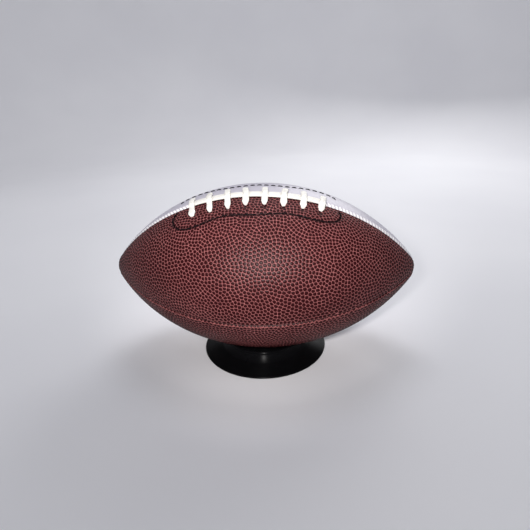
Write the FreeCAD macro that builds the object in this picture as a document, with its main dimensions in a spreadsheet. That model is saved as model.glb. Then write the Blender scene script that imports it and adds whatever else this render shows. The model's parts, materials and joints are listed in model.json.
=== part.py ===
import FreeCAD, Part
import math
import os

import Sketcher
from FreeCAD import Placement, Rotation, Vector

# A full-size football at rest on a low round stand ring.
#
# Row frame: the origin is the centre of the stand's foot, +Z up, +X along the ball.
# Every ball part is drawn in the ball's own frame: its centre at the origin, its long axis along X
# and its laced seam straight up in the XZ plane. One shared placement then tips the laced seam
# towards the front (-Y) and sets the ball down on the ring.

# ------------------------------------------------------------------ driving dimensions (mm, degrees)
DIMENSIONS = {
    # outline of the ball: a crown arc, with a smaller arc tangent to it at each tip
    "crown_radius": 174.2,
    "max_radius": 77.0,
    "tip_radius": 19.0,
    "lace_tilt": 18.4,
    # the wall of the ball, from outside to inside
    "cover_thickness": 2.2,
    "lining_thickness": 0.8,
    "facing_thickness": 0.8,
    "inner_run_thickness": 1.2,
    "guard_thickness": 0.6,
    "wall_play": 0.05,
    "bladder_thickness": 1.2,
    # seams and threads
    "seam_gap_angle": 1.5,
    "seam_thread_radius": 0.42,
    "seam_thread_reach": 110.0,
    "slit_reach": 74.0,
    "stitch_radius": 0.4,
    "stitch_length": 4.2,
    "stitch_pitch": 6.0,
    # the reinforced strips beside the slit, and the guard under it
    "facing_reach": 73.5,
    "facing_angle": 24.5,
    "facing_gap_angle": 0.4,
    "guard_reach": 70.0,
    "guard_angle": 36.0,
    # the lace
    "cross_pitch": 15.7,
    "cross_half_span": 14.0,
    "cross_arch_radius": 35.0,
    "lace_width": 4.6,
    "lace_thickness": 1.8,
    "lace_hole_radius": 2.7,
    "leg_depth": 4.9,
    "long_run_thickness": 1.4,
    "long_run_angle": 4.8,
    "long_run_reach": 62.0,
    "inner_run_angle": 3.4,
    # the valve, at the middle of the rear lower panel
    "valve_stem_radius": 3.0,
    "valve_bore_radius": 2.0,
    "valve_flange_radius": 7.0,
    "valve_flange_thickness": 0.9,
    "valve_tail": 4.0,
    "valve_recess": 0.3,
    "valve_play": 0.3,
    "needle_mouth_radius": 1.0,
    "needle_mouth_depth": 1.5,
    # the stand ring
    "foot_radius": 60.1,
    "foot_edge_radius": 0.95,
    "foot_edge_height": 1.7,
    "flare_radius": 110.0,
    "crease_radius": 42.8,
    "crease_height": 4.2,
    "neck_arc_radius": 12.0,
    "neck_radius": 37.4,
    "neck_height": 10.0,
    "lip_width": 3.2,
    "lip_radius": 1.7,
    "lip_height": 11.3,
    "well_radius": 33.6,
    "web_top": 4.0,
    "web_thickness": 2.0,
    "groove_inner_radius": 38.0,
    "groove_outer_radius": 56.0,
    "groove_depth": 1.0,
    "seat_gap": 0.3,
}
CROSS_COUNT = 8
PANEL_STARTS = {
    "front_upper": 0.0,
    "front_lower": 90.0,
    "rear_lower": 180.0,
    "rear_upper": 270.0,
}
VALVE_DIRECTION = 225.0
# where the rows of stitches run: along the ball, and away from the laced seam
STITCH_ROWS = {
    "front": [
        (-70, 4), (-72.5, 11), (-70, 19), (-64, 25), (-56, 27.5), (-46, 27), (-36, 24.5),
        (-26, 22.3), (-12, 22.8), (0, 23.5), (12, 22), (26, 19.8), (36, 20.5), (46, 21.5),
        (56, 21), (64, 18.5), (69.5, 14), (71, 8.5), (69, 3),
    ],
    "rear": [
        (-71, 13), (-68, 18.5), (-62, 22.5), (-52, 24), (-40, 22.5), (-26, 20.5), (-12, 22),
        (0, 23.5), (12, 22.5), (26, 21.5), (42, 25), (55, 26), (63, 23), (68, 17.5),
    ],
}

# ------------------------------------------------------------------ expressions that follow from them
CROWN_DROP = "(dims.crown_radius - dims.max_radius)"
LINING_DEPTH = "dims.cover_thickness"
FACING_DEPTH = f"({LINING_DEPTH} + dims.lining_thickness)"
INNER_RUN_DEPTH = f"({FACING_DEPTH} + dims.facing_thickness + dims.wall_play)"
GUARD_DEPTH = f"({INNER_RUN_DEPTH} + dims.inner_run_thickness + dims.wall_play)"
BLADDER_DEPTH = f"({GUARD_DEPTH} + dims.guard_thickness + dims.wall_play)"
BLADDER_INNER_DEPTH = f"({BLADDER_DEPTH} + dims.bladder_thickness)"
LIP_MIDDLE = "(dims.neck_radius - dims.lip_width / 2)"
LIP_CENTRE = "(dims.lip_height - sqrt(dims.lip_radius^2 - (dims.lip_width / 2)^2))"
SEAT_RADIUS = "(dims.crown_radius + dims.lip_radius + dims.seat_gap)"
BALL_HEIGHT = f"{LIP_CENTRE} + sqrt({SEAT_RADIUS}^2 - {LIP_MIDDLE}^2) - {CROWN_DROP}"

doc = FreeCAD.newDocument("football_on_stand")
dims = doc.addObject("Spreadsheet::Sheet", "dims")
for row, (alias, number) in enumerate(DIMENSIONS.items(), start=1):
    dims.set(f"A{row}", alias)
    dims.set(f"B{row}", str(number))
    dims.setAlias(f"B{row}", alias)
doc.recompute()

nodes = []


# ------------------------------------------------------------------ helpers
def number(expression):
    """The value of a sheet expression, in mm or degrees."""
    value = dims.evalExpression(expression)
    return float(getattr(value, "Value", value))


def surface_radius(x):
    """Radius of the ball's outside at a distance x along its axis, on the crown arc."""
    return math.sqrt(number("dims.crown_radius") ** 2 - x * x) - number(CROWN_DROP)


def seat_on_stand(part):
    """Tip the part with the ball and set it down on the ring."""
    axis = Rotation(Vector(1, 0, 0), number("dims.lace_tilt"))
    part.Placement = Placement(Vector(0, 0, number(BALL_HEIGHT)), axis)
    part.setExpression("Placement.Base.z", BALL_HEIGHT)
    part.setExpression("Placement.Rotation.Angle", "dims.lace_tilt")


def keep(part, label):
    part.Label = label
    nodes.append(part)
    return part


def new_body(name):
    return keep(doc.addObject("PartDesign::Body", name), name)


def turned(angle):
    """A turn about the ball's long axis; the laced seam is at 0 and the front at 90 degrees."""
    return Placement(Vector(), Rotation(Vector(1, 0, 0), angle))


def along_crown(x):
    """A swing about the centre of the crown arc, from the middle of the ball to a place along X."""
    lean = math.degrees(math.asin(x / number("dims.crown_radius")))
    centre = Vector(0, 0, -number(CROWN_DROP))
    return Placement(Vector(), Rotation(Vector(0, 1, 0), lean), centre)


def new_sketch(body, plane, name, move=Placement()):
    """A sketch on one of the body's own planes, carried from there by a move in the ball's frame."""
    support = next(item for item in body.Origin.OriginFeatures if item.Role == plane)
    sketch = body.newObject("Sketcher::SketchObject", name)
    sketch.AttachmentSupport = [(support, "")]
    sketch.MapMode = "FlatFace"
    sketch.AttachmentOffset = support.Placement.inverse() * move * support.Placement
    return sketch


def constrain(sketch, kind, *references, size=None):
    """Add a constraint; a size is a sheet expression that goes on driving it."""
    if size is None:
        sketch.addConstraint(Sketcher.Constraint(kind, *references))
        return
    index = sketch.addConstraint(Sketcher.Constraint(kind, *references, number(size)))
    sketch.setExpression(f"Constraints[{index}]", size)


def place_point(sketch, geometry, point, x=None, y=None):
    """Dimension a point from the sketch's origin, on either side of it."""
    for kind, size in (("DistanceX", x), ("DistanceY", y)):
        if size is None:
            continue
        if number(size) >= 0:
            constrain(sketch, kind, -1, 1, geometry, point, size=size)
        else:
            constrain(sketch, kind, geometry, point, -1, 1, size=f"-({size})")


def add_arc(sketch, centre, radius, start, end):
    circle = Part.Circle(Vector(*centre, 0), Vector(0, 0, 1), radius)
    return sketch.addGeometry(Part.ArcOfCircle(circle, start, end), False)


def add_line(sketch, start, end):
    return sketch.addGeometry(Part.LineSegment(Vector(*start, 0), Vector(*end, 0)), False)


def add_circle(sketch, x, y, radius):
    """A circle whose place and radius are sheet expressions."""
    circle = Part.Circle(Vector(number(x), number(y), 0), Vector(0, 0, 1), number(radius))
    geometry = sketch.addGeometry(circle, False)
    place_point(sketch, geometry, 3, x=x, y=y)
    constrain(sketch, "Radius", geometry, size=radius)


def add_bulge(sketch, start, end, radius, centre_on_left):
    """The short arc between two corners, and which of its own points each corner is."""
    half = math.dist(start, end) / 2
    along = ((end[0] - start[0]) / (2 * half), (end[1] - start[1]) / (2 * half))
    away = math.sqrt(radius * radius - half * half) * (1 if centre_on_left else -1)
    centre = (
        (start[0] + end[0]) / 2 - along[1] * away,
        (start[1] + end[1]) / 2 + along[0] * away,
    )
    turns = [math.atan2(y - centre[1], x - centre[0]) for x, y in (start, end)]
    if centre_on_left:
        return add_arc(sketch, centre, radius, *turns), 1, 2
    return add_arc(sketch, centre, radius, *reversed(turns)), 2, 1


def closed_outline(sketch, corners):
    """An outline through corners given as (x, y) or (x, y, radius, centre_on_left) expressions.

    The stretch from a corner to the next is straight, or an arc of the radius given with it.
    """
    places = [(number(corner[0]), number(corner[1])) for corner in corners]
    stretches = []
    for corner, start, end in zip(corners, places, places[1:] + places[:1]):
        if len(corner) == 2:
            stretches.append((add_line(sketch, start, end), 1, 2))
            continue
        stretches.append(add_bulge(sketch, start, end, number(corner[2]), corner[3]))
    for stretch, following in zip(stretches, stretches[1:] + stretches[:1]):
        constrain(sketch, "Coincident", stretch[0], stretch[2], following[0], following[1])
    for corner, (geometry, first, _) in zip(corners, stretches):
        place_point(sketch, geometry, first, x=corner[0], y=corner[1])
        if len(corner) > 2:
            constrain(sketch, "Radius", geometry, size=corner[2])


def crown_arc(sketch, depth, low_x, high_x):
    """An arc of the crown, a depth inside the outside, between two places along X."""
    radius = number(f"dims.crown_radius - {depth}")
    drop = number(CROWN_DROP)
    arc = add_arc(sketch, (0, -drop), radius, math.acos(high_x / radius), math.acos(low_x / radius))
    constrain(sketch, "Radius", arc, size=f"dims.crown_radius - {depth}")
    constrain(sketch, "PointOnObject", arc, 3, -2)
    place_point(sketch, arc, 3, y=f"-{CROWN_DROP}")
    return arc


def tip_to_tip(sketch, depth):
    """The ball's outline at a depth, from the right tip over the crown to the left tip."""
    tip = number(f"dims.tip_radius - {depth}")
    reach = number(f"sqrt((dims.crown_radius - dims.tip_radius)^2 - {CROWN_DROP}^2)")
    turn = math.atan2(number(CROWN_DROP), reach)
    meet = number(f"dims.crown_radius - {depth}") * math.cos(turn)
    crown = crown_arc(sketch, depth, -meet, meet)
    right = add_arc(sketch, (reach, 0), tip, 0, turn)
    left = add_arc(sketch, (-reach, 0), tip, math.pi - turn, math.pi)
    for arc in (right, left):
        constrain(sketch, "PointOnObject", arc, 3, -1)
        constrain(sketch, "Radius", arc, size=f"dims.tip_radius - {depth}")
    constrain(sketch, "Tangent", crown, 1, right, 2)
    constrain(sketch, "Tangent", crown, 2, left, 1)
    constrain(sketch, "PointOnObject", right, 1, -1)
    constrain(sketch, "PointOnObject", left, 2, -1)
    return (right, 1), (left, 2)


def shell_outline(sketch, outer, inner):
    """A wall between two depths, closed along the axis at both tips."""
    outer_ends = tip_to_tip(sketch, outer)
    inner_ends = tip_to_tip(sketch, inner)
    for (arc, point), (inner_arc, inner_point) in zip(outer_ends, inner_ends):
        closing = add_line(
            sketch,
            sketch.getPoint(arc, point)[:2],
            sketch.getPoint(inner_arc, inner_point)[:2],
        )
        constrain(sketch, "Coincident", closing, 1, arc, point)
        constrain(sketch, "Coincident", closing, 2, inner_arc, inner_point)


def band_outline(sketch, outer, inner, low_x, high_x):
    """A strip of the wall between two depths and two places along X."""
    low, high = number(low_x), number(high_x)
    arcs = [crown_arc(sketch, depth, low, high) for depth in (outer, inner)]
    for point, end in ((1, high_x), (2, low_x)):
        corners = [sketch.getPoint(arc, point)[:2] for arc in arcs]
        side = add_line(sketch, *corners)
        for side_point, arc in ((1, arcs[0]), (2, arcs[1])):
            constrain(sketch, "Coincident", side, side_point, arc, point)
        constrain(sketch, "Vertical", side)
        place_point(sketch, side, 1, x=end)


def revolve(body, sketch, name, angle, midplane=False, axis="H_Axis"):
    feature = body.newObject("PartDesign::Revolution", name)
    feature.Profile = sketch
    feature.ReferenceAxis = (sketch, [axis])
    feature.Midplane = midplane
    feature.Angle = number(angle)
    feature.setExpression("Angle", angle)
    doc.recompute()
    return feature


def pocket_outwards(body, sketch, name):
    """Cut the sketch's outlines through everything that lies along its normal."""
    before = body.Shape.Volume
    pocket = body.newObject("PartDesign::Pocket", name)
    pocket.Profile = sketch
    pocket.Type = "ThroughAll"
    pocket.Reversed = True
    doc.recompute()
    if not body.Shape.Volume < before:
        raise RuntimeError(f"{body.Name}: {name} cuts nothing")


def cross_x(index):
    """Where a cross of the lace lies along X; index counts from the left."""
    return f"({index - (CROSS_COUNT - 1) / 2} * dims.cross_pitch)"


def punch_lace_holes(body, row):
    """A row of round holes for the legs of the crosses; row is -1 in front, 1 behind."""
    for index in range(CROSS_COUNT):
        name = f"{body.Name}_lace_hole_{index + 1}"
        sketch = new_sketch(body, "XY_Plane", name, along_crown(number(cross_x(index))))
        add_circle(sketch, "0", f"{row} * dims.cross_half_span", "dims.lace_hole_radius")
        pocket_outwards(body, sketch, f"{name}_punch")


def punch_valve_hole(body):
    sketch = new_sketch(body, "XY_Plane", f"{body.Name}_valve_hole", turned(VALVE_DIRECTION))
    add_circle(sketch, "0", "0", "dims.valve_stem_radius + dims.valve_play")
    pocket_outwards(body, sketch, f"{body.Name}_valve_punch")


# ------------------------------------------------------------------ the wall of the ball
def panel(kind, position, outer, inner, gap):
    """A quarter of one layer of the wall, with the holes that its position needs."""
    body = new_body(f"{kind}_{position}")
    start = turned(PANEL_STARTS[position] + number(gap))
    sketch = new_sketch(body, "XZ_Plane", f"{body.Name}_outline", start)
    shell_outline(sketch, outer, inner)
    revolve(body, sketch, f"{body.Name}_wall", f"90 - 2 * {gap}")
    if position.endswith("upper"):
        punch_lace_holes(body, -1 if position == "front_upper" else 1)
    if position == "rear_lower":
        punch_valve_hole(body)
    seat_on_stand(body)


def bladder():
    body = new_body("bladder")
    sketch = new_sketch(body, "XZ_Plane", "bladder_outline")
    shell_outline(sketch, BLADDER_DEPTH, BLADDER_INNER_DEPTH)
    revolve(body, sketch, "bladder_wall", "360")
    punch_valve_hole(body)
    seat_on_stand(body)


def valve():
    """The rubber housing, moulded on the bladder, and the self-sealing core pressed into it."""
    tail = f"(dims.max_radius - {BLADDER_INNER_DEPTH} - dims.valve_tail)"
    seat = f"(dims.max_radius - {BLADDER_DEPTH} + dims.wall_play)"
    mouth = "(dims.max_radius - dims.valve_recess)"
    flange = f"({seat} + dims.valve_flange_thickness)"
    housing = new_body("valve_housing")
    sketch = new_sketch(housing, "XZ_Plane", "valve_housing_outline", turned(VALVE_DIRECTION))
    closed_outline(
        sketch,
        [
            ("dims.valve_bore_radius", tail),
            ("dims.valve_stem_radius", tail),
            ("dims.valve_stem_radius", seat),
            ("dims.valve_flange_radius", seat),
            ("dims.valve_flange_radius", flange),
            ("dims.valve_stem_radius", flange),
            ("dims.valve_stem_radius", mouth),
            ("dims.valve_bore_radius", mouth),
        ],
    )
    revolve(housing, sketch, "valve_housing_wall", "360", axis="V_Axis")
    seat_on_stand(housing)
    core = new_body("valve_core")
    sketch = new_sketch(core, "XZ_Plane", "valve_core_outline", turned(VALVE_DIRECTION))
    closed_outline(
        sketch,
        [
            ("0", tail),
            ("dims.valve_bore_radius", tail),
            ("dims.valve_bore_radius", mouth),
            ("dims.needle_mouth_radius", mouth),
            ("0", f"{mouth} - dims.needle_mouth_depth"),
        ],
    )
    revolve(core, sketch, "valve_core_plug", "360", axis="V_Axis")
    seat_on_stand(core)


def seam_thread(position, turn):
    """A thread just under the covers along a seam; the laced seam has one at each end of its slit."""
    depth = "(dims.cover_thickness + 1.1 * dims.seam_thread_radius)"
    line_radius = f"(dims.crown_radius - {depth})"
    reach = f"asin(dims.seam_thread_reach / {line_radius})"
    slit = f"asin(dims.slit_reach / {line_radius})"
    spans = [(f"90 deg - {reach}", f"2 * {reach}")]
    if position == "laced":
        ends = f"{reach} - {slit}"
        spans = [(f"90 deg - {reach}", ends), (f"90 deg + {slit}", ends)]
    runs = []
    for index, (start, sweep) in enumerate(spans, start=1):
        run = doc.addObject("Part::Torus", f"seam_thread_{position}_run_{index}")
        run.setExpression("Radius1", line_radius)
        run.setExpression("Radius2", "dims.seam_thread_radius")
        run.setExpression("Angle3", sweep)
        about_axis = Rotation(Vector(1, 0, 0), turn)
        upright = Rotation(Vector(1, 0, 0), 90)
        along = Rotation(Vector(0, 0, 1), number(start))
        centre = about_axis.multVec(Vector(0, 0, -number(CROWN_DROP)))
        run.Placement = Placement(centre, about_axis * upright * along)
        runs.append(run)
    thread = keep(doc.addObject("Part::Compound", f"seam_thread_{position}"), f"seam_thread_{position}")
    thread.Links = runs
    seat_on_stand(thread)


# ------------------------------------------------------------------ the laced slit
def facing(position, start):
    """The strip of leather sewn inside a panel's edge, which the lace holes go through."""
    body = new_body(f"lace_facing_{position}")
    sketch = new_sketch(body, "XZ_Plane", f"{body.Name}_outline", turned(start))
    inner = f"({FACING_DEPTH} + dims.facing_thickness)"
    band_outline(sketch, FACING_DEPTH, inner, "-dims.facing_reach", "dims.facing_reach")
    revolve(body, sketch, f"{body.Name}_strip", "dims.facing_angle")
    punch_lace_holes(body, -1 if position == "front" else 1)
    seat_on_stand(body)


def lace_guard():
    body = new_body("lace_guard")
    sketch = new_sketch(body, "XZ_Plane", "lace_guard_outline")
    inner = f"({GUARD_DEPTH} + dims.guard_thickness)"
    band_outline(sketch, GUARD_DEPTH, inner, "-dims.guard_reach", "dims.guard_reach")
    revolve(body, sketch, "lace_guard_tongue", "dims.guard_angle", midplane=True)
    seat_on_stand(body)


def long_run():
    """The stretch of lace that lies along the seam, under the crosses."""
    body = new_body("lace_long_run")
    sketch = new_sketch(body, "XZ_Plane", "lace_long_run_outline")
    outer = "(-(dims.wall_play + dims.long_run_thickness))"
    band_outline(sketch, outer, "(-dims.wall_play)", "-dims.long_run_reach", "dims.long_run_reach")
    revolve(body, sketch, "lace_long_run_strap", "dims.long_run_angle", midplane=True)
    seat_on_stand(body)


def inner_runs(position, side, first):
    """Inside the ball the lace goes from one cross to the next, by turns behind and in front."""
    body = new_body(f"lace_inner_runs_{position}")
    turn = side * math.degrees(number("dims.cross_half_span / dims.max_radius"))
    sketch = new_sketch(body, "XZ_Plane", f"{body.Name}_outline", turned(turn))
    inner = f"({INNER_RUN_DEPTH} + dims.inner_run_thickness)"
    for index in range(first, CROSS_COUNT - 1, 2):
        low = f"({cross_x(index)} - dims.lace_width / 2)"
        high = f"({cross_x(index + 1)} + dims.lace_width / 2)"
        band_outline(sketch, INNER_RUN_DEPTH, inner, low, high)
    revolve(body, sketch, f"{body.Name}_straps", "dims.inner_run_angle", midplane=True)
    seat_on_stand(body)


def cross(index):
    """One pass of the lace over the seam, with a leg down through the hole at each end."""
    body = new_body(f"lace_cross_{index + 1}")
    move = along_crown(number(cross_x(index)))
    sketch = new_sketch(body, "YZ_Plane", f"{body.Name}_outline", move)
    underside = "(dims.max_radius + dims.long_run_thickness + 4 * dims.wall_play)"
    centre = f"({underside} - dims.cross_arch_radius)"
    foot = "(dims.max_radius - dims.leg_depth)"
    half = "dims.lace_thickness / 2"
    sides = [
        ("dims.cross_arch_radius + dims.lace_thickness", f"(dims.cross_half_span + {half})"),
        ("dims.cross_arch_radius", f"(dims.cross_half_span - {half})"),
    ]
    arcs = []
    for radius, reach in sides:
        start = math.acos(number(f"{reach} / ({radius})"))
        arc = add_arc(sketch, (0, number(centre)), number(radius), start, math.pi - start)
        constrain(sketch, "Radius", arc, size=radius)
        constrain(sketch, "PointOnObject", arc, 3, -2)
        place_point(sketch, arc, 3, y=centre)
        place_point(sketch, arc, 1, x=reach)
        place_point(sketch, arc, 2, x=f"-{reach}")
        arcs.append(arc)
    for point, side in ((1, 1), (2, -1)):
        corners = [sketch.getPoint(arc, point) for arc in arcs]
        feet = [(corner.x, number(foot)) for corner in corners]
        legs = [add_line(sketch, corner[:2], end) for corner, end in zip(corners, feet)]
        sole = add_line(sketch, feet[0], feet[1])
        for leg, arc, sole_point in ((legs[0], arcs[0], 1), (legs[1], arcs[1], 2)):
            constrain(sketch, "Coincident", leg, 1, arc, point)
            constrain(sketch, "Coincident", leg, 2, sole, sole_point)
            constrain(sketch, "Vertical", leg)
        constrain(sketch, "Horizontal", sole)
        place_point(sketch, sole, 1, y=foot)
    pad = body.newObject("PartDesign::Pad", f"{body.Name}_strap")
    pad.Profile = sketch
    pad.Midplane = True
    pad.setExpression("Length", "dims.lace_width")
    doc.recompute()
    seat_on_stand(body)


def facing_stitches(position, side):
    """The row of stitches that holds a facing: it waves along the lace, farther out at its ends."""
    curve = Part.BSplineCurve()
    curve.interpolate([Vector(x, away, 0) for x, away in STITCH_ROWS[position]])
    length = number("dims.stitch_length")
    lift = number("dims.stitch_radius + dims.wall_play")
    stitches = []
    for parameter in curve.discretize(Distance=number("dims.stitch_pitch"))[:-1]:
        middle = curve.parameter(parameter)
        tangent = curve.tangent(middle)[0]
        radius = surface_radius(parameter.x) + lift
        angle = side * parameter.y / surface_radius(parameter.x)
        place = Vector(parameter.x, -radius * math.sin(angle), radius * math.cos(angle))
        slope = -parameter.x / math.sqrt(number("dims.crown_radius") ** 2 - parameter.x**2)
        along = Vector(1, -slope * math.sin(angle), slope * math.cos(angle)).normalize()
        around = Vector(0, -side * math.cos(angle), -side * math.sin(angle))
        way = (along * tangent.x + around * tangent.y).normalize()
        start = place - way * (length / 2)
        stitches.append(Part.makeCylinder(number("dims.stitch_radius"), length, start, way))
    name = f"facing_stitches_{position}"
    part = keep(doc.addObject("Part::Feature", name), name)
    part.Shape = Part.makeCompound(stitches)
    seat_on_stand(part)


# ------------------------------------------------------------------ the stand
def stand_ring():
    """A moulded ring: a thin flared foot, a crease, and a concave neck that ends in a round lip.

    A thin web closes it, below the ball.
    """
    body = new_body("stand_ring")
    sketch = new_sketch(body, "XZ_Plane", "stand_ring_outline")
    closed_outline(
        sketch,
        [
            ("dims.well_radius", "0"),
            ("dims.foot_radius", "0", "dims.foot_edge_radius", True),
            ("dims.foot_radius", "dims.foot_edge_height", "dims.flare_radius", False),
            ("dims.crease_radius", "dims.crease_height", "dims.neck_arc_radius", False),
            ("dims.neck_radius", "dims.neck_height"),
            ("dims.neck_radius", "dims.lip_height", "dims.lip_radius", True),
            ("dims.neck_radius - dims.lip_width", "dims.lip_height"),
            ("dims.well_radius", "dims.web_top"),
            ("0", "dims.web_top"),
            ("0", "dims.web_top - dims.web_thickness"),
            ("dims.well_radius", "dims.web_top - dims.web_thickness"),
        ],
    )
    revolve(body, sketch, "stand_ring_wall", "360", axis="V_Axis")
    solid = body.Shape.Volume
    sketch = new_sketch(body, "XZ_Plane", "stand_ring_groove_outline")
    closed_outline(
        sketch,
        [
            ("dims.groove_inner_radius", "0"),
            ("dims.groove_outer_radius", "0"),
            ("dims.groove_outer_radius", "dims.groove_depth"),
            ("dims.groove_inner_radius", "dims.groove_depth"),
        ],
    )
    groove = body.newObject("PartDesign::Groove", "stand_ring_groove")
    groove.Profile = sketch
    groove.ReferenceAxis = (sketch, ["V_Axis"])
    groove.Angle = 360
    doc.recompute()
    if not body.Shape.Volume < solid:
        raise RuntimeError("the groove under the stand ring cuts nothing")


# ------------------------------------------------------------------ the assembly
stand_ring()
for panel_position in PANEL_STARTS:
    panel("cover", panel_position, "0", "dims.cover_thickness", "0")
    panel("lining", panel_position, LINING_DEPTH, FACING_DEPTH, "dims.seam_gap_angle")
bladder()
valve()
for seam, seam_turn in (("laced", 0), ("front", 90), ("bottom", 180), ("rear", 270)):
    seam_thread(seam, seam_turn)
facing("front", number("dims.facing_gap_angle"))
facing("rear", 360 - number("dims.facing_gap_angle + dims.facing_angle"))
lace_guard()
long_run()
inner_runs("rear", -1, 0)
inner_runs("front", 1, 1)
for cross_index in range(CROSS_COUNT):
    cross(cross_index)
facing_stitches("front", 1)
facing_stitches("rear", -1)

doc.recompute()
for item in doc.Objects:
    if {"Invalid", "Error"} & set(item.State):
        raise RuntimeError(f"{item.Name} failed: {item.State}")

os.makedirs("parts", exist_ok=True)
for node in nodes:
    if node.Shape.isNull() or not node.Shape.isValid():
        raise RuntimeError(f"{node.Label} has no valid shape")
    node.Shape.exportStep(f"parts/{node.Label}.step")
    print(node.Label, len(node.Shape.Solids), "solids", round(node.Shape.Volume), "mm3")
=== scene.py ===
import json
import math
import random

import bpy
import numpy as np
from mathutils import Matrix, Vector, kdtree, noise

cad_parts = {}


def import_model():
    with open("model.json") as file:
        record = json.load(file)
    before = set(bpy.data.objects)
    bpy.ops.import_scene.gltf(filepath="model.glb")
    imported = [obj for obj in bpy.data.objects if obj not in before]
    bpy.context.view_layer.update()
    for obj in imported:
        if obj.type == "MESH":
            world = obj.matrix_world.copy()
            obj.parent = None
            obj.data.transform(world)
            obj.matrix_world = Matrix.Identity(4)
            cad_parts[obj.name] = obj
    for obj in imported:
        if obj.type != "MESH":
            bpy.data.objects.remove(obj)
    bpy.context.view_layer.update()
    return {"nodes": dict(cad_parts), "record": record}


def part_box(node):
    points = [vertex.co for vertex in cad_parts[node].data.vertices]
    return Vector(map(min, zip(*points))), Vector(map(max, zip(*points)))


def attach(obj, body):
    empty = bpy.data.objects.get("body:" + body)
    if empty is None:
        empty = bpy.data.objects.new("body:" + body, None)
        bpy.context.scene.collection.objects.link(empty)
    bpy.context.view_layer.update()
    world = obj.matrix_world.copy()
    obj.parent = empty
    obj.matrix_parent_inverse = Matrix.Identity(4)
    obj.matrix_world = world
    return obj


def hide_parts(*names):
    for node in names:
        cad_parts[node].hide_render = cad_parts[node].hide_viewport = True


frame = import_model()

NODES = frame["nodes"]
MM = 0.001
SEED = 7

# ------------------------------------------------------------------ sizes, in metres and radians
COVERS = ("cover_front_upper", "cover_front_lower", "cover_rear_lower", "cover_rear_upper")
COVER_BOXES = [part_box(name) for name in COVERS]
BALL_LOW = min(low.z for low, _ in COVER_BOXES)
BALL_HIGH = max(high.z for _, high in COVER_BOXES)
MAX_RADIUS = (BALL_HIGH - BALL_LOW) / 2
BALL_HEIGHT = (BALL_HIGH + BALL_LOW) / 2
CROWN_RADIUS = 174.2 * MM
TIP_RADIUS = 19.0 * MM
LACE_TILT = math.radians(18.4)
COVER_THICKNESS = 2.2 * MM

CROWN_DROP = CROWN_RADIUS - MAX_RADIUS
TIP_CENTRE = math.sqrt((CROWN_RADIUS - TIP_RADIUS) ** 2 - CROWN_DROP**2)
TIP_TURN = math.atan2(CROWN_DROP, TIP_CENTRE)
TIP_ARC = TIP_RADIUS * TIP_TURN
CROWN_ARC = CROWN_RADIUS * (math.pi - 2 * TIP_TURN)
MERIDIAN = CROWN_ARC + 2 * TIP_ARC

CROSS_COUNT = 8
CROSS_PITCH = 15.7 * MM
CROSS_HALF_SPAN = 14.0 * MM
# in millimetres, from the left: how far each cross runs past its front hole, and how wide it is there
CROSS_ENDS = [
    (3.8, 6.4), (2.2, 5.2), (0.4, 5.4), (-1.8, 5.8),
    (-2.0, 5.4), (-1.5, 6.0), (-1.6, 5.9), (-2.3, 5.9),
]
# in millimetres: how far along the ball the front and rear ends of each cross lie from its middle
CROSS_SHIFTS = [
    (1.7, -3.0), (1.8, -2.6), (1.4, -2.6), (0.2, -2.9),
    (0, -1.4), (0, 0.9), (0, 0.2), (-1.5, 1.6),
]
LACE_AROUND = 28
LACE_WIDTH = 4.8 * MM
LACE_THICKNESS = 2.1 * MM
LONG_RUN_REACH = 57.5 * MM
LONG_RUN_WIDTH = 6.9 * MM
LONG_RUN_THICKNESS = 1.9 * MM
LONG_RUN_SET_BACK = 0.5 * MM

PEBBLE_PITCH = 3.25 * MM
PEBBLE_HEIGHT = 0.34 * MM
PEBBLE_ROUNDS = 36
PEBBLE_NEIGHBOURS = 8
SEAM_STITCH = 3.4 * MM
THREAD_RADIUS = 0.42 * MM
STITCH_PITCH = 6.0 * MM
STITCH_LENGTH = 4.3 * MM
# in millimetres, the rows of stitches beside the slit: along the ball, and away from the laced seam
FRONT_ROW = [
    (-70, 4), (-72.5, 11), (-70, 19), (-64, 25), (-56, 27.5), (-46, 27), (-36, 24.5),
    (-26, 22.3), (-12, 22.8), (0, 23.5), (12, 22), (26, 19.8), (36, 20.5), (46, 21.5),
    (56, 21), (64, 18.5), (69.5, 14), (71, 8.5), (69, 3),
]
REAR_ROW = [
    (-71, 13), (-68, 18.5), (-62, 22.5), (-52, 24), (-40, 22.5), (-26, 20.5), (-12, 22),
    (0, 23.5), (12, 22.5), (26, 21.5), (42, 25), (55, 26), (63, 23), (68, 17.5),
]

VALVE_AT = math.radians(225)
VALVE_HOLE = 3.3 * MM


# ------------------------------------------------------------------ the ball's surface
def meridian(along):
    """Distance along X, radius and slope angle of the outline, at arc lengths from the left tip."""
    along = np.clip(np.asarray(along, float), 0, MERIDIAN)
    left = along < TIP_ARC
    right = along > TIP_ARC + CROWN_ARC
    turn = math.pi - TIP_TURN - (along - TIP_ARC) / CROWN_RADIUS
    turn = np.where(left, math.pi - along / TIP_RADIUS, turn)
    turn = np.where(right, (MERIDIAN - along) / TIP_RADIUS, turn)
    radius = np.where(left | right, TIP_RADIUS, CROWN_RADIUS)
    middle = np.where(left, -TIP_CENTRE, np.where(right, TIP_CENTRE, 0))
    drop = np.where(left | right, 0, CROWN_DROP)
    return middle + radius * np.cos(turn), radius * np.sin(turn) - drop, turn


def on_ball(along, angle, height=0.0):
    """Points of the ball's own frame: arc length from the left tip, angle from the laced seam
    towards the front, and height above the surface."""
    x, radius, turn = meridian(along)
    reach = np.maximum(radius, 0) + height * np.sin(turn)
    return np.stack([x + height * np.cos(turn), -reach * np.sin(angle), reach * np.cos(angle)], -1)


def to_row(points):
    """From the ball's own frame to the row frame: tip the laced seam forwards and lift the centre."""
    points = np.asarray(points, float)
    c, s = math.cos(LACE_TILT), math.sin(LACE_TILT)
    y = points[..., 1] * c - points[..., 2] * s
    z = points[..., 1] * s + points[..., 2] * c + BALL_HEIGHT
    return np.stack([points[..., 0], y, z], -1)


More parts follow.
